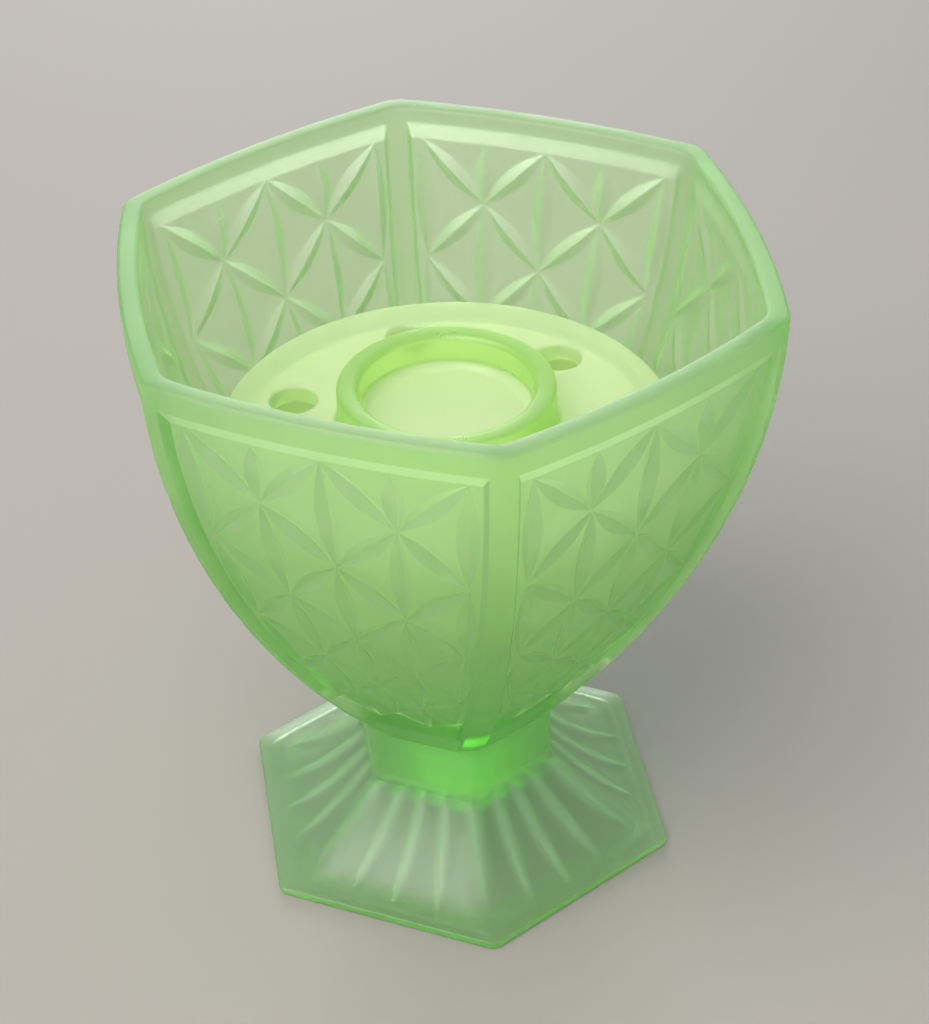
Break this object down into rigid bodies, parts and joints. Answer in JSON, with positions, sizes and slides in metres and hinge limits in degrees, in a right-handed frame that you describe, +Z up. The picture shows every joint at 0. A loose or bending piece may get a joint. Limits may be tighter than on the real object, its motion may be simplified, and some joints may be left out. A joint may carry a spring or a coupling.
{
  "type": "footed flower vase with flower frog",
  "caption": "Hexagonal footed vase in frosted uranium glass with starred panels, and a round pierced flower frog with a raised cup that lifts out.",
  "frame": {"origin": "centre of the foot, on the surface that the vase stands on", "axes": "+Z up along the vase's axis; flat sides face +X and -X, corners point along +Y and -Y"},
  "size_m": [0.1284, 0.1404, 0.144],
  "materials": {
    "frosted_green_glass": "acid-frosted pressed uranium glass",
    "pale_green_glass": "satin pressed uranium glass"
  },
  "bodies": {
    "vase": {"vase_body": "frosted_green_glass"},
    "frog": {"flower_frog": "pale_green_glass"}
  },
  "joints": [
    {"name": "frog_lift", "type": "slide", "parent": "vase", "child": "frog", "axis": [0, 0, 1], "range_m": [0, 0.07]}
  ]
}
